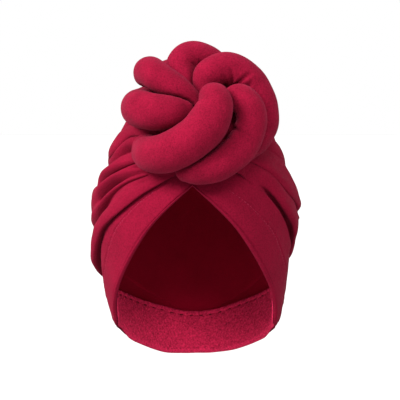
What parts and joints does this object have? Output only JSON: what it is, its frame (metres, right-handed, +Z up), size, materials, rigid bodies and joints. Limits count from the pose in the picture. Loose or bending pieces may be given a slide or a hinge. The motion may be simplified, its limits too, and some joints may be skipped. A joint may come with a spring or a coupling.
{
  "type": "twist knot turban hat",
  "caption": "Pre-tied turban hat of draped jersey with a stuffed-roll rosette knot at the front and a terry band inside the nape.",
  "frame": {"origin": "inner top of the crown, where the hat sits on a head", "axes": "+Z up, the face opening looks along -Y, +X towards the wearer's left"},
  "size_m": [0.1945, 0.2503, 0.2986],
  "materials": {
    "crown_jersey": "matt fine rib jersey",
    "band_jersey": "matt fine rib jersey",
    "roll_jersey": "matt fine rib jersey over filling",
    "terry": "matt terry loops"
  },
  "bodies": {
    "root": {"crown": "crown_jersey", "face_band": "band_jersey", "nape_band": "terry", "roll_front": "roll_jersey", "roll_lower": "roll_jersey", "roll_outer": "roll_jersey", "roll_top": "roll_jersey", "roll_upper_left": "roll_jersey", "roll_left": "roll_jersey"}
  },
  "joints": []
}
